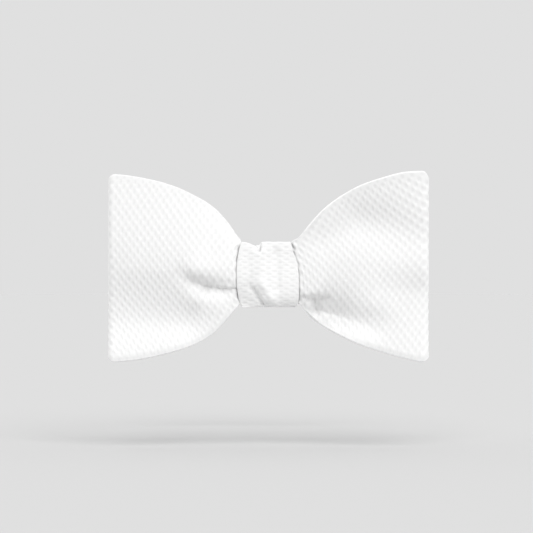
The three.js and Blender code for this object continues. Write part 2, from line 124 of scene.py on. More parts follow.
# Sizes of the stitches that hold the neckband's folded ends.
STITCH_SPACING = 1.9
STITCH_LENGTH = 1.3
STITCH_RADIUS = 0.2
STITCH_TIP = 0.14  # radius of its two tips, as a share of the middle's
STITCH_SIDES = 8
STITCH_RINGS = 7
STITCHES_FROM_END = 1.6  # from the cut end of the fold to its row of stitches

# The weave. Its dimples sit on a lattice of cells, at the corners and the middle of each. Their half sizes
# are shares of the cell.
WEAVE_LEAN = 0.105  # how far the wings' columns lean, as a share of the height
WING_OVALS = (0.28, 0.44)
KNOT_CELL = (2.1, 4.2)
KNOT_OVALS = (0.25, 0.38)
OVAL_FLOOR = 0.3  # share of a dimple's reach that is its flat bottom
WEAVE_FROM_HEM = (1.0, 0.9)  # where the wings' dimples set in, as shares of the height
WEAVE_FROM_KNOT = (-1.0, 1.0)  # and as distances from the second row of their sections
WEAVE_FROM_SIDE = (0.0, 0.8)  # where the knot's set in, as distances from its sides

# The knot's two edges as seen from the front, and how far each wing's cloth stays off them.
EDGE_COLUMNS = ("z", "left", "right", "left_gap", "right_gap")
KNOT_EDGES = [
    (-11.6, -10.1, 10.5, 0.3, 0.1),
    (-6.6, -11.0, 10.9, 0.25, 0.1),
    (-2.0, -11.4, 10.9, 0.4, 0.25),
    (2.0, -11.4, 10.6, 0.45, 0.3),
    (5.2, -11.2, 9.9, 0.4, 0.5),
    (7.8, -10.8, 9.0, 0.3, 0.65),
    (11.6, -9.7, 7.9, 0.2, 0.65),
]
SIDE_COLUMNS = {-1: ("left", "left_gap"), 1: ("right", "right_gap")}

# The wings' sections. top and bottom are the heights of the hems, front and back the depths of the two walls
# at mid height clear of the knot, and top_fall and bottom_fall how far the front falls back to each hem.
SECTION_COLUMNS = ("x", "top", "bottom", "front", "back", "top_fall", "bottom_fall")
LEFT_SECTIONS = [
    (0.5, 4.6, -7.0, 14.4, 5.4, 2.4, 2.4),
    (9.9, 8.4, -7.8, 16.0, 5.4, 2.4, 2.0),
    (10.6, 12.7, -8.8, 16.1, 5.4, 2.4, 1.0),
    (11.1, 13.4, -10.8, 16.2, 5.4, 2.4, 1.0),
    (11.5, 13.9, -11.5, 16.2, 5.4, 2.4, 1.1),
    (15.0, 19.0, -15.8, 16.4, 5.2, 2.4, 1.3),
    (20.0, 24.3, -21.1, 16.6, 4.6, 2.4, 0.9),
    (26.0, 28.0, -24.9, 16.8, 4.0, 2.2, 0.4),
    (33.0, 31.3, -27.4, 17.0, 3.6, 2.0, 0.0),
    (41.0, 33.7, -29.4, 17.2, 4.3, 1.8, 0.2),
    (49.0, 35.2, -30.8, 17.3, 6.0, 1.4, 0.2),
    (55.1, 35.8, -31.2, 17.2, 8.4, 1.4, 0.2),
    (56.7, 34.8, -30.0, 12.8, 12.8, 0.4, 0.2),
]
RIGHT_SECTIONS = [
    (0.5, 7.0, -7.0, 14.4, 5.4, 2.4, 2.4),
    (8.1, 8.4, -7.8, 15.8, 5.4, 2.4, 2.8),
    (8.7, 11.8, -8.0, 15.9, 5.4, 1.0, 1.6),
    (10.5, 13.1, -8.8, 16.1, 5.4, 0.0, 0.9),
    (10.9, 13.5, -10.2, 16.1, 5.4, -0.3, 0.8),
    (11.5, 14.1, -10.8, 16.2, 5.4, -0.6, 1.0),
    (15.0, 18.4, -15.0, 16.7, 5.2, -1.2, 1.2),
    (20.0, 23.7, -18.8, 17.3, 4.6, -1.0, 0.6),
    (26.0, 28.2, -22.2, 17.7, 4.0, -0.6, 0.2),
    (33.0, 32.0, -25.2, 17.7, 3.6, -1.2, -0.4),
    (41.0, 34.7, -27.8, 17.6, 4.3, -1.7, 0.0),
    (49.0, 36.6, -30.0, 17.5, 6.0, -1.7, 0.3),
    (55.1, 36.9, -31.2, 17.3, 8.4, -1.0, 0.3),
    (56.7, 35.0, -30.1, 12.8, 12.8, 0.0, 0.2),
]

# Folds pressed into a surface. Each is a valley along a line from (x, z) to (to_x, to_z), or a ridge where
# its depth is negative. above and below are its half widths on its two sides at the start, and at the end
# they are spread times as much.
FOLD_COLUMNS = ("x", "z", "to_x", "to_z", "depth", "to_depth", "above", "below", "spread")
LEFT_FOLDS = [
    (2, -7.5, 6, -7.5, 3.0, 2.4, 3.0, 3.0, 1),
    (9, -5.0, 15, -4.8, 0.9, 1.1, 0.5, 6.0, 1),
    (17, -4.6, 21.5, -4.0, 1.2, 2.2, 0.8, 3.6, 1.3),
    (26.6, -2.1, 30.5, 0.8, 1.3, 0.6, 2.0, 3.4, 1.2),
    (25, -8.5, 32, -3.0, -0.5, -0.4, 2.6, 3.0, 1),
    (10.9, 5.5, 11.0, -3.5, 1.7, 1.8, 0.62, 6.0, 1),
    (9.9, -7.5, 10.0, -12.5, 1.2, 2.2, 1.2, 6.0, 1),
    (18, -10.5, 26.5, -9.4, -0.4, -0.5, 2.8, 3.6, 1),
    (14, -0.8, 25, 0.5, -0.8, -1.2, 6.5, 2.0, 1),
    (30, -17, 57, -14.5, 3.0, 3.9, 8.5, 7, 1.8),
    (27, 3.0, 42, 3.0, -2.0, -0.8, 16, 5, 1.2),
]
RIGHT_FOLDS = [
    (9.5, -7.8, 20.5, -8.2, 0.8, 1.4, 0.6, 1.6, 1.5),
    (13, -11, 15.5, -13, 0.9, 1.2, 2.4, 2.4, 1),
    (13.5, -14, 18, -15, 2.0, 3.8, 3.8, 5, 2.1),
    (26.5, -17.2, 36, -19, 3.7, 1.6, 9.5, 5.5, 0.7),
    (16.2, -9.5, 17.4, -13.5, 2.6, 2.2, 2.2, 1.8, 1),
    (18.5, -12.4, 34, -17.2, 0.9, 0.5, 2.6, 1.3, 1.5),
    (38.5, -11, 43, -13, -0.4, -0.3, 4.5, 3, 1),
    (20, 12.5, 31, 18.5, 1.2, 1.8, 7, 6, 1.2),
    (42, 16.8, 57, 11.5, 2.0, 1.5, 8, 9, 1),
    (38, -6, 57, -7.5, 0.3, 3.8, 8, 20, 1),
]
BACK_FOLDS = [
    (0, 3, 30, 11, -1.6, 0, 2.2, 2.2, 2.4),
    (0, -3, 30, -9, -1.6, 0, 2.2, 2.2, 2.4),
]
KNOT_FOLDS = [
    (-3.5, 25, -3.4, 11.4, 1.4, 1.4, 0.5, 3.6, 1),
    (-3.3, 14, -3.1, 8.2, 2.8, 2.6, 0.5, 0.6, 0.7),
    (-4.8, -7.0, -1.2, -13, 1.0, 1.8, 0.6, 7.0, 1),
    (-5.0, -5.0, -1.3, -11.2, 1.6, 3.0, 0.45, 0.8, 1.5),
    (-14, -14.2, -9, -13.8, 4.0, 4.0, 8.2, 4.0, 1),
    (-3.0, -2.6, 3.4, -12.6, -0.5, -0.8, 1.6, 1.1, 1),
    (-2.6, 7.5, -2.2, -3.8, -0.6, -0.7, 2.2, 2.0, 1),
    (2.8, 8, 3.2, -5, 0.6, 0.6, 1.3, 1.3, 1),
    (-7.2, 8, -6.8, -4, 0.5, 0.7, 1.6, 1.8, 1),
    (-14, 10.9, 14, 10.7, -0.4, -0.4, 1.0, 3.5, 1),
    (4.5, -11.8, 14, -11.2, 1.4, 1.4, 4.6, 2.5, 1),
]

# How each wing's weave lies: bow is the outward curve of its columns, tilt the slope of its rows, and widen
# how much its cells open towards the top of the outer end.
WEAVES = {
    "left": {"bow": 0.003, "tilt": -0.03, "widen": 0.0},
    "right": {"bow": 0.0025, "tilt": 0.17, "widen": 0.4},
}
WIDEN_ALONG = (34.0, 57.0)  # over which the cells open, along the strip
WIDEN_UP = (-15.0, 25.0)  # and up the wing


def smoothstep(low, high, value):
    share = np.clip((value - low) / (high - low), 0, 1)
    return share * share * (3 - 2 * share)


def curve_through(columns, rows, name):
    """A smooth curve through one column of a table, which never overshoots between two rows."""
    xs = np.array([row[0] for row in rows], float)
    ys = np.array([row[columns.index(name)] for row in rows], float)
    slopes = np.diff(ys) / np.diff(xs)
    before = np.concatenate([slopes[:1], slopes])
    after = np.concatenate([slopes, slopes[-1:]])
    level = before * after <= 0
    tangents = np.where(level, 0, 2 * before * after / np.where(level, 1, before + after))

    def curve(x):
        x = np.clip(x, xs[0], xs[-1])
        i = np.clip(np.searchsorted(xs, x, side="right") - 1, 0, len(xs) - 2)
        span = xs[i + 1] - xs[i]
        t = (x - xs[i]) / span
        rise = t * t * (3 - 2 * t)
        bend = t * (1 - t) * span
        return ys[i] * (1 - rise) + ys[i + 1] * rise + bend * ((1 - t) * tangents[i] - t * tangents[i + 1])

    return curve


def fold_depth(folds, x, z):
    """How deep the folds press a surface in at the points (x, z)."""
    total = np.zeros(np.broadcast(x, z).shape)
    for row in folds:
        fold = dict(zip(FOLD_COLUMNS, row))
        run = fold["to_x"] - fold["x"]
        rise = fold["to_z"] - fold["z"]
        length = math.hypot(run, rise)
        along = ((x - fold["x"]) * run + (z - fold["z"]) * rise) / length**2
        share = np.clip(along, 0, 1)
        beyond = (along - share) * length
        aside = ((z - fold["z"]) * run - (x - fold["x"]) * rise) / length
        side = np.where(aside * np.sign(run) > 0, fold["above"], fold["below"])
        spread = 1 + (fold["spread"] - 1) * share
        reach = (fold["above"] + fold["below"]) / 2
        depth = fold["depth"] + (fold["to_depth"] - fold["depth"]) * share
        total += depth * np.exp(-((aside / side) ** 2 + (beyond / reach) ** 2) / spread**2)
    return total


def dimples(across, along, cell, oval):
    """The sunken ovals of the weave, 1 at the bottom of each and 0 on the net between them."""
    nearest = np.inf
    for shift in (0.0, 0.5):
        column = (across / cell[0] + shift + 0.5) % 1 - 0.5
        row = (along / cell[1] + shift + 0.5) % 1 - 0.5
        nearest = np.minimum(nearest, np.hypot(column / oval[0], row / oval[1]))
    return 1 - smoothstep(OVAL_FLOOR, 1.0, nearest)


def unit(vectors):
    return vectors / np.maximum(np.linalg.norm(vectors, axis=-1, keepdims=True), 1e-9)


def zip_chains(first, second):
    """Triangles that close the gap between two chains of points that start and end together."""
    faces = []
    i = j = 0
    while i < len(first) - 1 or j < len(second) - 1:
        ahead = (i + 1) / len(first) <= (j + 1) / len(second)
        if j == len(second) - 1 or (ahead and i < len(first) - 1):
            faces.append((first[i], first[i + 1], second[j]))
            i += 1
        else:
            faces.append((first[i], second[j + 1], second[j]))
            j += 1
    return [face for face in faces if len(set(face)) == 3]


def tube_faces(rows, columns, closed):
    """Quads over a grid of points whose rows join into a ring, and whose columns do too if closed."""
    r, c = np.meshgrid(np.arange(rows), np.arange(columns if closed else columns - 1), indexing="ij")
    r_next = (r + 1) % rows
    c_next = (c + 1) % columns
    corners = [r * columns + c, r * columns + c_next, r_next * columns + c_next, r_next * columns + c]
    return np.stack(corners, -1).reshape(-1, 4)


def strip_ends(rows, columns, outside_rows):
    """Triangles that close the two ends of a strip of cloth, from the middle of one hem to the other's."""
    top = outside_rows - 1 + HEM_FACETS // 2
    bottom = rows - HEM_FACETS // 2
    faces = []
    for column in (0, columns - 1):
        outside = [row * columns + column for row in (*range(bottom, rows), *range(top + 1))]
        inside = [row * columns + column for row in range(bottom, top - 1, -1)]
        end = zip_chains(outside, inside)
        faces += end if column else [face[::-1] for face in end]
    return faces


def new_mesh(name, points, quads, triangles, weave):
    """A smooth mesh of quads and triangles, in millimetres, with the weave's place as its UVs."""
    mesh = bpy.data.meshes.new(name)
    mesh.from_pydata((points * MM).tolist(), [], quads.tolist() + list(triangles))
    mesh.validate()
    corner_points = np.empty(len(mesh.loops), dtype=np.int32)
    mesh.loops.foreach_get("vertex_index", corner_points)
    layer = mesh.uv_layers.new(name="weave")
    layer.data.foreach_set("uv", weave[corner_points].ravel().astype(np.float32))
    a, b, c = (points[quads[:, k]] for k in range(3))
    d = points[quads[:, 3]]
    volume = np.sum(a * np.cross(b, c)) + np.sum(a * np.cross(c, d))
    if volume < 0:
        mesh.flip_normals()
    mesh.shade_smooth()
    obj = bpy.data.objects.new(name, mesh)
    bpy.context.scene.collection.objects.link(obj)
    return obj


def dress(obj, node, material):
    """obj takes the place of a solid, in a material."""
    obj.data.materials.append(material)
    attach(obj, "root")
    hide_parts(node)
    return obj


def knot_side(side):
    """The distance of one side of the knot from its middle, and the wing's gap to it, at each height."""
    edge, gap = (curve_through(EDGE_COLUMNS, KNOT_EDGES, name) for name in SIDE_COLUMNS[side])
    return lambda z: side * edge(z), gap


def wing_stations(sections, side):
    """x, turn and place along the strip of each station, out along the front and back along the back."""
    roll_start = sections[-2][0]
    edge = float(knot_side(side)[0](0.0))
    tuck = np.arange(edge + TUCK_SPAN[0], edge + TUCK_SPAN[1], TUCK_STEP)
    hidden = np.arange(sections[0][0], tuck[0], HIDDEN_STEP)

    def outward(step):
        first = tuck[-1] + TUCK_STEP
        seen = np.linspace(first, roll_start, round((roll_start - first) / step), endpoint=False)
        return np.concatenate([hidden, tuck, seen])

    front = outward(FRONT_STEP)
    back = outward(BACK_STEP)[::-1]
    angles = np.linspace(math.pi / 2, -math.pi / 2, ROLL_FACETS + 1)
    x = np.concatenate([front, roll_start + END_ROLL * np.cos(angles), back])
    turn = np.concatenate([np.ones(len(front)), np.sin(angles), -np.ones(len(back))])
    roll = END_ROLL * (math.pi / 2 - angles)
    place = np.concatenate([front, roll_start + roll, 2 * roll_start + roll[-1] - back])
    return x, turn, place


def wing_surface(sections, folds, side, x, turn, w):
    """Points of the middle of a wing's cloth. w runs from -1 at the bottom hem to 1 at the top hem."""
    top, bottom, front, back, top_fall, bottom_fall = (
        curve_through(SECTION_COLUMNS, sections, name) for name in SECTION_COLUMNS[1:]
    )
    edge, gap = knot_side(side)
    beside = edge(0.0)
    height = (top(beside) + bottom(beside)) / 2 + (top(beside) - bottom(beside)) / 2 * w
    x = x + (edge(height) - beside) * smoothstep(*BEND_IN, x) * (1 - smoothstep(*BEND_OUT, x))
    wall_x = np.minimum(x, sections[-2][0])
    inset = BACK_INSET * (1 - turn) / 2 + HEM_REACH
    high = top(x) - inset
    low = bottom(x) + inset
    z = (high + low) / 2 + (high - low) / 2 * w
    fall = np.where(w > 0, top_fall(wall_x), bottom_fall(wall_x)) * np.abs(w) ** FALL_POWER
    from_knot = x - edge(z) - gap(z)
    front_depth = front(wall_x) - fall - TUCK_DEPTH * (1 - smoothstep(*TUCK_RISE, from_knot))
    rolled = smoothstep(*ROLL_FROM, x) * (1 - smoothstep(0, BOTTOM_REACH, z - low))
    front_depth = front_depth - BOTTOM_ROLL * rolled
    back_depth = back(wall_x) + BACK_FALL * np.abs(w) ** FALL_POWER
    front_share = (1 + turn) / 2
    pressed = front_share * fold_depth(folds, x, z) + (1 - front_share) * fold_depth(BACK_FOLDS, x, z)
    depth = (front_depth + back_depth) / 2 + (front_depth - back_depth) / 2 * turn - pressed
    return np.stack([side * x, -depth, z], -1)


def weave_place(side, weave, place, z):
    """Where the points of a wing lie in its weave, across its columns and along them."""
    start, end = WIDEN_ALONG
    past = np.maximum(place - start, 0)
    opening = weave["widen"] * past**2 / (2 * (end - start)) * smoothstep(*WIDEN_UP, z)
    across = place - opening + side * WEAVE_LEAN * z + weave["bow"] * z**2
    along = z - weave["tilt"] * place
    return across, along


def make_wing(name, sections, folds, side, weave, cell, depth_of_weave):
    x, turn, place = wing_stations(sections, side)
    w = np.linspace(-1, 1, WING_ROWS)[:, None]
    middle = wing_surface(sections, folds, side, x, turn, w)
    upward = np.gradient(middle, axis=0)
    outward = unit(np.cross(np.gradient(middle, axis=1), upward)) * side
    across, along = weave_place(side, weave, place, middle[..., 2])
    shown = smoothstep(*WEAVE_FROM_HEM, np.abs(w)) * smoothstep(*WEAVE_FROM_KNOT, x - sections[1][0])
    sunk = depth_of_weave / MM * dimples(across, along, cell, WING_OVALS) * shown
    outside = middle + outward * (CLOTH / 2 - sunk[..., None])
    inner_rows = np.linspace(0, WING_ROWS - 1, INSIDE_ROWS).round().astype(int)
    inside = (middle - outward * CLOTH / 2)[inner_rows]
    edge_out = unit(upward)

    def hem(row, sign, start, stop):
        angles = np.linspace(start, stop, HEM_FACETS + 1)[1:-1, None, None]
        through = outward[row] * np.cos(angles) * CLOTH / 2
        return middle[row] + through + sign * edge_out[row] * np.sin(angles) * HEM_REACH

    grid = np.concatenate([outside, hem(-1, 1, 0, math.pi), inside[::-1], hem(0, -1, math.pi, 0)])
    rows, columns = grid.shape[:2]
    across, along = weave_place(side, weave, np.broadcast_to(place, (rows, columns)), grid[..., 2])
    uv = np.stack([across / cell[0], along / cell[1]], -1)
    ends = strip_ends(rows, columns, WING_ROWS)
    return new_mesh(name, grid.reshape(-1, 3), tube_faces(rows, columns, False), ends, uv.reshape(-1, 2))


def knot_ring(inset):
    """The round of the knot's cloth seen along X, at a distance inside its outer face.

    Each point has a depth, a height and an outward normal."""
    points = []
    corners = (
        (1, 1, KNOT_TOP_RADIUS, 0),
        (-1, 1, KNOT_BACK_RADIUS, 90),
        (-1, -1, KNOT_BACK_RADIUS, 180),
        (1, -1, KNOT_BOTTOM_RADIUS, 270),
    )
    for forward, upward, outer_radius, start in corners:
        radius = max(outer_radius - inset, min(outer_radius, KNOT_INNER_RADIUS))
        depth = KNOT_DEPTH / 2 + forward * (KNOT_DEPTH / 2 - inset - radius)
        height = upward * (KNOT_HALF_HEIGHT - inset - radius)
        for angle in np.radians(np.linspace(start, start + 90, CORNER_POINTS)):
            out = math.cos(angle), math.sin(angle)
            points.append((depth + radius * out[0], height + radius * out[1], *out))
    return np.array(points + points[:1])


def knot_section():
    """The knot's outer and inner faces seen along X, with their normals and distances along the cloth."""
    outer = knot_ring(0)
    inner = knot_ring(KNOT_WALL)
    lengths = np.concatenate([[0], np.cumsum(np.linalg.norm(np.diff(outer[:, :2], axis=0), axis=1))])
    total = lengths[-1]
    even = np.linspace(0, total, round(total / KNOT_STEP), endpoint=False)

    def spread(points):
        return np.stack([np.interp(even, lengths, points[:, k]) for k in range(2)], -1)

    # Distances along the cloth are the heights on the front, which the folds are placed by.
    cloth = np.where(even > total / 2, even - total, even) + KNOT_HALF_HEIGHT - KNOT_TOP_RADIUS
    cloth = np.where(cloth > total / 2, cloth - total, cloth)
    return spread(outer), spread(inner), unit(spread(outer[:, 2:])), cloth


def make_knot(name, depth_of_weave):
    outer, inner, normal, cloth = knot_section()
    depth, height = outer.T
    left, right = (curve_through(EDGE_COLUMNS, KNOT_EDGES, edge) for edge in ("left", "right"))
    drawn = KNOT_DRAW * (1 - smoothstep(KNOT_DRAW_FROM, KNOT_DEPTH, depth)) + KNOT_HEM
    start = (left(height) + drawn)[:, None]
    end = (right(height) - drawn)[:, None]
    arch = np.cos(height / KNOT_HALF_HEIGHT * math.pi / 2)
    bulge = (KNOT_BULGE * np.maximum(0, normal[:, 0]) * arch)[:, None]
    along_cloth = cloth[:, None]
    lift = np.maximum(np.where(height > 0, normal[:, 1], 0), smoothstep(*KNOT_LIP, height))[:, None]

    def skin(columns):
        x = start + (end - start) * np.linspace(0, 1, columns)
        return x, bulge - fold_depth(KNOT_FOLDS, x, along_cloth)

    def place(x, out, inward=0.0, sunk=0.0):
        """Points of the cloth, inward being 0 at its outer face and 1 at its inner face."""
        base = outer + (inner - outer) * inward
        leaning = base[:, :1] * (1 - KNOT_LEAN * base[:, 1:] / KNOT_DEPTH)
        y = -(leaning + (out - sunk) * normal[:, :1])
        z = base[:, 1:] + out * lift - sunk * normal[:, 1:]
        return np.stack([x, y, z], -1)

    x_out, out = skin(KNOT_COLUMNS)
    shown = smoothstep(*WEAVE_FROM_SIDE, x_out - start) * smoothstep(*WEAVE_FROM_SIDE, end - x_out)
    sunk = depth_of_weave / MM * dimples(along_cloth, x_out, KNOT_CELL, KNOT_OVALS) * shown
    x_in, out_in = skin(KNOT_INSIDE_COLUMNS)

    def hem(x, sign, out, start_angle, stop_angle):
        rolls = []
        for angle in np.linspace(start_angle, stop_angle, HEM_FACETS + 1)[1:-1]:
            inward = (1 - math.cos(angle)) / 2
            rolls.append(place(x + sign * KNOT_HEM * math.sin(angle), out, inward))
        return np.concatenate(rolls, axis=1)

    right_hem = hem(end, 1, out[:, -1:], 0, math.pi)
    left_hem = hem(start, -1, out[:, :1], math.pi, 0)
    outside = place(x_out, out, 0, sunk)
    inside = place(x_in, out_in, 1)[:, ::-1]
    grid = np.concatenate([outside, right_hem, inside, left_hem], axis=1)
    rows, columns = grid.shape[:2]
    across = np.broadcast_to(along_cloth / KNOT_CELL[0], (rows, columns))
    uv = np.stack([across, grid[..., 0] / KNOT_CELL[1]], -1)
    return new_mesh(name, grid.reshape(-1, 3), tube_faces(rows, columns, True), [], uv.reshape(-1, 2))


def neckband_line():
    """The neckband's middle line seen from above, from one end to the other, and the distance along it."""
    back_y = -BAND_DEPTH + BAND_FRONT_RADIUS + NECK_STRAIGHT + BAND_BACK_RADIUS
    run = np.linspace(TURN_BACK, 0, TURN_POINTS)
    closed = BAND_THICK + PLY_GAP
    drop = 2 * LOOP_RADIUS + (closed - 2 * LOOP_RADIUS) * smoothstep(0, TURN_SPREAD, run)
    half = list(zip(BAR_OFFSET + run, back_y - drop))

    def arc(x, y, radius, start, stop, facets):
        for angle in np.radians(np.linspace(start, stop, facets + 1)[1:]):
            half.append((x + radius * math.cos(angle), y + radius * math.sin(angle)))

    arc(BAR_OFFSET, back_y - LOOP_RADIUS, LOOP_RADIUS, 270, 90, LOOP_FACETS)
    half.append((BAND_BACK_STRAIGHT, back_y))
    arc(BAND_BACK_STRAIGHT, back_y - BAND_BACK_RADIUS, BAND_BACK_RADIUS, 90, 0, BACK_FACETS)
    half.append((BAND_HALF_WIDTH, BAND_FRONT_RADIUS - BAND_DEPTH))
    arc(BAND_FRONT_STRAIGHT, BAND_FRONT_RADIUS - BAND_DEPTH, BAND_FRONT_RADIUS, 0, -90, FRONT_FACETS)
    points = np.array(half + [(-x, y) for x, y in reversed(half)])
    lengths = np.concatenate([[0], np.cumsum(np.linalg.norm(np.diff(points, axis=0), axis=1))])
    even = np.linspace(0, lengths[-1], round(lengths[-1] / BAND_STEP))
    return np.stack([np.interp(even, lengths, points[:, k]) for k in range(2)], -1), even


def neckband_outward(line):
    """The way that the neckband's outer face looks at each point of its middle line."""
    ahead = unit(np.gradient(line, axis=0))
    return np.stack([ahead[:, 1], -ahead[:, 0]], -1)


def make_neckband(name, cell, depth_of_weave):
    line, lengths = neckband_line()
    outward = neckband_outward(line)
    radius = BAND_THICK / 2
    flat = BAND_HEIGHT / 2 - radius
    angles = np.linspace(0, math.pi, HEM_FACETS + 1)[1:-1]
    profile = [(radius, z, True) for z in np.linspace(-flat, flat, BAND_ROWS)]
    profile += [(radius * math.cos(a), flat + radius * math.sin(a), False) for a in angles]
    profile += [(-radius, z, True) for z in np.linspace(flat, -flat, BAND_INSIDE_ROWS)]
    profile += [(-radius * math.cos(a), -flat - radius * math.sin(a), False) for a in angles]
    grid = []
    for offset, z, woven in profile:
        sunk = depth_of_weave / MM * dimples(lengths, z, cell, WING_OVALS) * np.sign(offset) if woven else 0
        place = line + outward * np.broadcast_to(offset - sunk, lengths.shape)[:, None]
        grid.append(np.column_stack([place, np.full(len(line), z)]))
    grid = np.array(grid)
    rows, columns = grid.shape[:2]
    uv = np.stack([np.broadcast_to(lengths, (rows, columns)) / cell[0], grid[..., 2] / cell[1]], -1)
    ends = strip_ends(rows, columns, BAND_ROWS)
    return new_mesh(name, grid.reshape(-1, 3), tube_faces(rows, columns, False), ends, uv.reshape(-1, 2))


def make_stitches(name):
    """A row of stitches up each folded end of the neckband, on the side that faces the neck."""
    line, lengths = neckband_line()
    outward = neckband_outward(line)
    count = int((BAND_HEIGHT - 2 * BAND_THICK) / STITCH_SPACING) + 1
    heights = (np.arange(count) - (count - 1) / 2) * STITCH_SPACING
    around = np.radians(np.arange(STITCH_SIDES) * 360 / STITCH_SIDES)[:, None]
    along = np.linspace(-1, 1, STITCH_RINGS)
    radius = STITCH_RADIUS * np.sqrt(np.maximum(1 - along**2, STITCH_TIP**2))
    capsule = [radius * np.cos(around), radius * np.sin(around), STITCH_LENGTH / 2 * along + 0 * around]
    capsule = np.stack(capsule, -1).reshape(-1, 3)
    points = []
    for from_start in (STITCHES_FROM_END, lengths[-1] - STITCHES_FROM_END):
        x, y = (np.interp(from_start, lengths, line[:, k]) for k in range(2))
        inward = -np.array([np.interp(from_start, lengths, outward[:, k]) for k in range(2)])
        middle = np.array([x, y]) + inward * BAND_THICK / 2
        points += [capsule + (*middle, z) for z in heights]
    quads = [tube_faces(STITCH_SIDES, STITCH_RINGS, False) + k * len(capsule) for k in range(len(points))]
    points = np.concatenate(points)
    return new_mesh(name, points, np.concatenate(quads), [], points[:, :2])


class Shader:
    """Builds the nodes of one material, joining them by plain calls."""

    def __init__(self, name):
        self.material = bpy.data.materials.new(name)
        self.material.use_nodes = True
        self.tree = self.material.node_tree
        self.surface = self.tree.nodes["Principled BSDF"]

    def node(self, kind, **inputs):
        node = self.tree.nodes.new(kind)
        for name, value in inputs.items():
            self.feed(node, name.replace("_", " "), value)
        return node

    def feed(self, node, name, value):
        if isinstance(value, bpy.types.NodeSocket):
            self.tree.links.new(value, node.inputs[name])
        else:
            node.inputs[name].default_value = value

    def maths(self, operation, first, second=0.0):
        node = self.tree.nodes.new("ShaderNodeMath")
        node.operation = operation
        self.feed(node, 0, first)
        self.feed(node, 1, second)
        return node.outputs[0]

    def wave(self, value, count):
        return self.maths("COSINE", self.maths("MULTIPLY", value, 2 * math.pi * count))

    def bump(self, height, distance, normal=None):
        node = self.node("ShaderNodeBump", Height=height, Distance=distance)
        if normal:
            self.feed(node, "Normal", normal)
        return node.outputs["Normal"]

    def mix(self, share, first, second):
        node = self.tree.nodes.new("ShaderNodeMix")
        node.data_type = "RGBA"
        self.feed(node, 0, share)
        self.feed(node, 6, first)
        self.feed(node, 7, second)
        return node.outputs[2]


def pique_material(name, colour, painted_dimple_shade):
    """White cotton pique: its net of raised yarns, the dimples between them, with painted shade that darkens
    the dimples' colour, and single threads as bump.
    """
    shader = Shader(name)
    place = shader.node("ShaderNodeUVMap")
    place.uv_map = "weave"
    split = shader.node("ShaderNodeSeparateXYZ", Vector=place.outputs[0])
    across = split.outputs[0]
    along = split.outputs[1]
    # Painted shade: the dimples are mixed towards a darker colour for the shade that falls into them. The
    # noise is a random tone of the cloth.
    lattice = shader.maths("MULTIPLY", shader.wave(across, 1), shader.wave(along, 1))
    painted_shade_mask = shader.maths("MAXIMUM", lattice, 0.0)
    noise = shader.node("ShaderNodeTexNoise", Vector=place.outputs[0], Scale=0.35, Detail=4.0)
    tone = shader.maths("MULTIPLY", shader.maths("SUBTRACT", noise.outputs[0], 0.5), 0.12)
    share = shader.maths("ADD", shader.maths("MULTIPLY", painted_shade_mask, 0.8), tone)
    colours = shader.mix(share, (*colour, 1), (*painted_dimple_shade, 1))
    threads = shader.maths("MULTIPLY", shader.wave(across, 9), shader.wave(along, 13))
    fibre = shader.node("ShaderNodeTexNoise", Vector=place.outputs[0], Scale=14.0, Detail=3.0)
    surface = shader.surface
    shader.feed(surface, "Base Color", colours)
    shader.feed(surface, "Roughness", 0.92)
    shader.feed(surface, "Specular IOR Level", 0.2)
    shader.feed(surface, "Sheen Weight", 0.15)
    shader.feed(surface, "Sheen Roughness", 0.5)
    fine = shader.bump(threads, 0.03 * MM)
    shader.feed(surface, "Normal", shader.bump(fibre.outputs[0], 0.06 * MM, normal=fine))
    return shader.material


def toned(cloth, tone):
    """The two colours of the cloth, made lighter or darker, to paint light or shade on a whole piece."""
    return tone * np.array(cloth.colour), tone * np.array(cloth.painted_dimple_shade)


def thread_material(colour):
    """Plain sewing thread."""
    shader = Shader("thread")
    shader.feed(shader.surface, "Base Color", (*colour, 1))
    shader.feed(shader.surface, "Roughness", 0.7)
    return shader.material


def steel_material():
    """Nickel-plated steel, with the fine lines of its rolling."""
    shader = Shader("clasp_steel")
    place = shader.node("ShaderNodeTexCoord").outputs["Object"]
    stretched = shader.node("ShaderNodeMapping", Vector=place, Scale=(200, 200, 6000))
    lines = shader.node("ShaderNodeTexNoise", Vector=stretched.outputs[0], Scale=1.0, Detail=4.0)
    surface = shader.surface
    shader.feed(surface, "Base Color", (0.62, 0.63, 0.64, 1))
    shader.feed(surface, "Metallic", 1.0)
    rough = shader.maths("ADD", shader.maths("MULTIPLY", lines.outputs[0], 0.15), 0.22)
    shader.feed(surface, "Roughness", rough)
    shader.feed(surface, "Normal", shader.bump(lines.outputs[0], 0.02 * MM))
    return shader.material


def floor_material(brightness):
    """A matt floor with no shine."""
    shader = Shader("floor")
    shader.feed(shader.surface, "Base Color", (brightness, brightness, brightness, 1))
    shader.feed(shader.surface, "Roughness", 1.0)
    shader.feed(shader.surface, "Specular IOR Level", 0.0)
    return shader.material


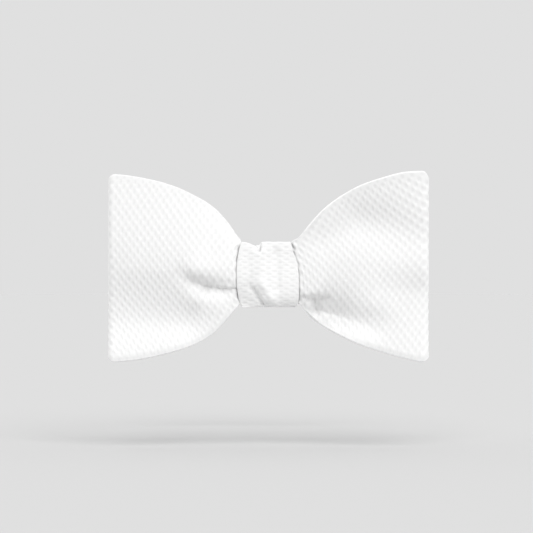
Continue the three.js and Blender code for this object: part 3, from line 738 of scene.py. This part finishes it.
def studio_world(backdrop, slope, fill):
    """An even backdrop, and apart from it the light from all round, which grows along slope."""
    world = bpy.data.worlds.new("studio")
    world.use_nodes = True
    nodes = world.node_tree.nodes
    links = world.node_tree.links
    seen = nodes["Background"]
    seen.inputs["Color"].default_value = (backdrop, backdrop, backdrop, 1)
    share = nodes.new("ShaderNodeVectorMath")
    share.operation = "DOT_PRODUCT"
    links.new(nodes.new("ShaderNodeTexCoord").outputs["Generated"], share.inputs[0])
    share.inputs[1].default_value = slope
    level = nodes.new("ShaderNodeMath")
    level.operation = "ADD"
    links.new(share.outputs["Value"], level.inputs[0])
    level.inputs[1].default_value = fill
    light = nodes.new("ShaderNodeBackground")
    links.new(level.outputs[0], light.inputs["Strength"])
    light.inputs["Color"].default_value = (1, 1, 1, 1)
    either = nodes.new("ShaderNodeMixShader")
    links.new(nodes.new("ShaderNodeLightPath").outputs["Is Camera Ray"], either.inputs[0])
    links.new(light.outputs[0], either.inputs[1])
    links.new(seen.outputs[0], either.inputs[2])
    links.new(either.outputs[0], nodes["World Output"].inputs["Surface"])
    return world


class BowClothSettings(bpy.types.PropertyGroup):
    """The weave and colour of the cloth, and the painted shade of its dimples."""

    cell_width: bpy.props.FloatProperty(
        name="Cell width",
        description="Distance between dimples across the wings",
        default=2.63 * MM,
        unit="LENGTH",
    )
    cell_height: bpy.props.FloatProperty(
        name="Cell height",
        description="Distance between dimples up the wings",
        default=3.83 * MM,
        unit="LENGTH",
    )
    dimple_depth: bpy.props.FloatProperty(
        name="Dimple depth",
        description="How far the dimples of the weave are sunk",
        default=0.26 * MM,
        unit="LENGTH",
    )
    colour: bpy.props.FloatVectorProperty(
        name="Cloth",
        description="Colour of the raised yarns",
        subtype="COLOR",
        default=(0.93, 0.93, 0.928),
    )
    # Painted shade: the darker colour that the dimples are mixed towards, for the shade that falls into
    # them.
    painted_dimple_shade: bpy.props.FloatVectorProperty(
        name="Dimples",
        description="Colour at the bottom of the dimples",
        subtype="COLOR",
        default=(0.87, 0.87, 0.87),
    )


class BowStudioSettings(bpy.types.PropertyGroup):
    """The camera, floor and light."""

    camera_distance: bpy.props.FloatProperty(
        name="Camera distance",
        description="From the camera to the middle of the bow",
        default=1.1,
        unit="LENGTH",
    )
    picture_width: bpy.props.FloatProperty(
        name="Picture width",
        description="Width of the picture where it crosses the bow",
        default=0.1921,
        unit="LENGTH",
    )
    floor_drop: bpy.props.FloatProperty(
        name="Floor drop",
        description="From the middle of the knot down to the floor",
        default=0.062,
        unit="LENGTH",
    )
    backdrop: bpy.props.FloatProperty(
        name="Backdrop",
        description="Brightness of the backdrop and the floor",
        default=0.745,
        min=0,
        max=1,
    )
    fill: bpy.props.FloatProperty(
        name="Fill",
        description="Brightness of the light from all round, at the height of the bow",
        default=0.95,
        min=0,
    )
    fill_behind: bpy.props.FloatProperty(
        name="Fill from behind",
        description="How much brighter the light from behind is, and how much darker that from the front",
        default=0.47,
        min=0,
    )
    key_strength: bpy.props.FloatProperty(
        name="Key light",
        description="Strength of the soft light from the front, above",
        default=1.93,
        min=0,
    )


class OBJECT_OT_bow_camera(bpy.types.Operator):
    """Adds the camera, straight in front of the bow and level with it"""

    bl_idname = "object.bow_camera"
    bl_label = "Camera"

    REFERENCE_DEPTH = 0.005  # of the plane in which the picture's width is measured
    OFFSET = (-0.0007, 0.0029)  # of the picture's middle from the knot's

    def execute(self, context):
        studio = context.scene.bow_studio
        lens = bpy.data.cameras.new("camera")
        lens.sensor_width = 36
        distance = studio.camera_distance - self.REFERENCE_DEPTH
        lens.lens = lens.sensor_width * distance / studio.picture_width
        camera = bpy.data.objects.new("camera", lens)
        camera.location = (self.OFFSET[0], -studio.camera_distance, self.OFFSET[1])
        camera.rotation_euler = (math.pi / 2, 0, 0)
        context.scene.collection.objects.link(camera)
        context.scene.camera = camera
        return {"FINISHED"}


class OBJECT_OT_bow_wings(bpy.types.Operator):
    """Adds the two wings, each a strip of pique folded into a hollow loop"""

    bl_idname = "object.bow_wings"
    bl_label = "Wings"

    def execute(self, context):
        cloth = context.scene.bow_cloth
        cell = (cloth.cell_width / MM, cloth.cell_height / MM)
        material = pique_material("pique", cloth.colour, cloth.painted_dimple_shade)
        wings = ((-1, "left", LEFT_SECTIONS, LEFT_FOLDS), (1, "right", RIGHT_SECTIONS, RIGHT_FOLDS))
        for side, name, sections, folds in wings:
            piece = f"{name}_wing_cloth"
            wing = make_wing(piece, sections, folds, side, WEAVES[name], cell, cloth.dimple_depth)
            dress(wing, f"{name}_wing", material)
        return {"FINISHED"}


class OBJECT_OT_bow_knot(bpy.types.Operator):
    """Adds the knot, a strip of pique wrapped round the gathered middle"""

    bl_idname = "object.bow_knot"
    bl_label = "Knot"

    WEAVE_DEPTH = 0.46  # of the wings' dimples, as the knot's cloth is drawn tight
    PAINTED_LIGHT_TONE = 1.03  # of the wings' brightness: painted light, a lighter copy of the same cloth that makes the knot brighter

    def execute(self, context):
        cloth = context.scene.bow_cloth
        knot = make_knot("knot_cloth", self.WEAVE_DEPTH * cloth.dimple_depth)
        # Painted light: the knot's cloth is a lighter copy of the wings' cloth.
        lighter_pique = pique_material("pique_painted_lighter", *toned(cloth, self.PAINTED_LIGHT_TONE))
        dress(knot, "knot", lighter_pique)
        return {"FINISHED"}


class OBJECT_OT_bow_neckband(bpy.types.Operator):
    """Adds the neckband, which goes through the knot and round the neck"""

    bl_idname = "object.bow_neckband"
    bl_label = "Neckband"

    PAINTED_LIGHT_TONE = 0.9  # of the wings' brightness: painted shade, a darker copy of the same cloth that keeps the band from looking too bright

    def execute(self, context):
        cloth = context.scene.bow_cloth
        cell = (cloth.cell_width / MM, cloth.cell_height / MM)
        band = make_neckband("neckband_cloth", cell, cloth.dimple_depth)
        # Painted shade: the band's cloth is a darker copy of the wings' cloth.
        plain = pique_material("pique_band_painted_darker", *toned(cloth, self.PAINTED_LIGHT_TONE))
        dress(band, "neckband", plain)
        stitches = make_stitches("neckband_stitches")
        # The thread's own colour is the same grey as the dimples' painted shade.
        stitches.data.materials.append(thread_material(cloth.painted_dimple_shade))
        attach(stitches, "root")
        return {"FINISHED"}


class OBJECT_OT_bow_clasp(bpy.types.Operator):
    """Finishes the clasp at the nape in plain steel"""

    bl_idname = "object.bow_clasp"
    bl_label = "Clasp"

    def execute(self, context):
        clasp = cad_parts["clasp"]
        clasp.data.materials.clear()
        clasp.data.materials.append(steel_material())
        return {"FINISHED"}


class OBJECT_OT_bow_studio(bpy.types.Operator):
    """Adds the pale floor, the backdrop and the soft light"""

    bl_idname = "object.bow_studio"
    bl_label = "Studio"

    KEY_DIRECTION = (-0.14, 0.74, -0.65)
    KEY_ANGLE = math.radians(50)
    FLOOR_HALF = 6.0

    def execute(self, context):
        scene = context.scene
        studio = scene.bow_studio
        scene.view_settings.view_transform = "Standard"
        scene.world = studio_world(studio.backdrop, (0, studio.fill_behind, 0), studio.fill)
        direction = unit(np.array(self.KEY_DIRECTION))
        key = bpy.data.lights.new("key", "SUN")
        key.energy = studio.key_strength
        key.angle = self.KEY_ANGLE
        lamp = bpy.data.objects.new("key", key)
        lamp.rotation_euler = Vector(direction).to_track_quat("-Z", "Y").to_euler()
        scene.collection.objects.link(lamp)
        mesh = bpy.data.meshes.new("floor")
        half = self.FLOOR_HALF
        corners = [(-half, -half), (half, -half), (half, half), (-half, half)]
        mesh.from_pydata([(x, y, -studio.floor_drop) for x, y in corners], [], [(0, 1, 2, 3)])
        # The floor is as much darker than the backdrop as the light on it is stronger than 1.
        lit = studio.fill + studio.key_strength * -direction[2] / math.pi
        mesh.materials.append(floor_material(studio.backdrop / lit))
        floor = bpy.data.objects.new("floor", mesh)
        floor.visible_diffuse = False
        scene.collection.objects.link(floor)
        return {"FINISHED"}


class VIEW3D_PT_bow_tie(bpy.types.Panel):
    """Lists the sizes, the colours and the pieces"""

    bl_label = "Bow tie"
    bl_space_type = "VIEW_3D"
    bl_region_type = "UI"
    bl_category = "Bow tie"

    def draw(self, context):
        layout = self.layout
        for settings in (context.scene.bow_cloth, context.scene.bow_studio):
            box = layout.box()
            for name in settings.__annotations__:
                box.prop(settings, name)
        for operator in PIECES:
            layout.operator(operator.bl_idname)


SETTINGS = (BowClothSettings, BowStudioSettings)
PIECES = (
    OBJECT_OT_bow_camera,
    OBJECT_OT_bow_wings,
    OBJECT_OT_bow_knot,
    OBJECT_OT_bow_neckband,
    OBJECT_OT_bow_clasp,
    OBJECT_OT_bow_studio,
)


def register():
    for item in (*SETTINGS, *PIECES, VIEW3D_PT_bow_tie):
        bpy.utils.register_class(item)
    bpy.types.Scene.bow_cloth = bpy.props.PointerProperty(type=BowClothSettings)
    bpy.types.Scene.bow_studio = bpy.props.PointerProperty(type=BowStudioSettings)


def unregister():
    del bpy.types.Scene.bow_studio
    del bpy.types.Scene.bow_cloth
    for item in reversed((*SETTINGS, *PIECES, VIEW3D_PT_bow_tie)):
        bpy.utils.unregister_class(item)


def main():
    register()
    for operator in PIECES:
        group, name = operator.bl_idname.split(".")
        getattr(getattr(bpy.ops, group), name)()


if __name__ == "__main__":
    main()
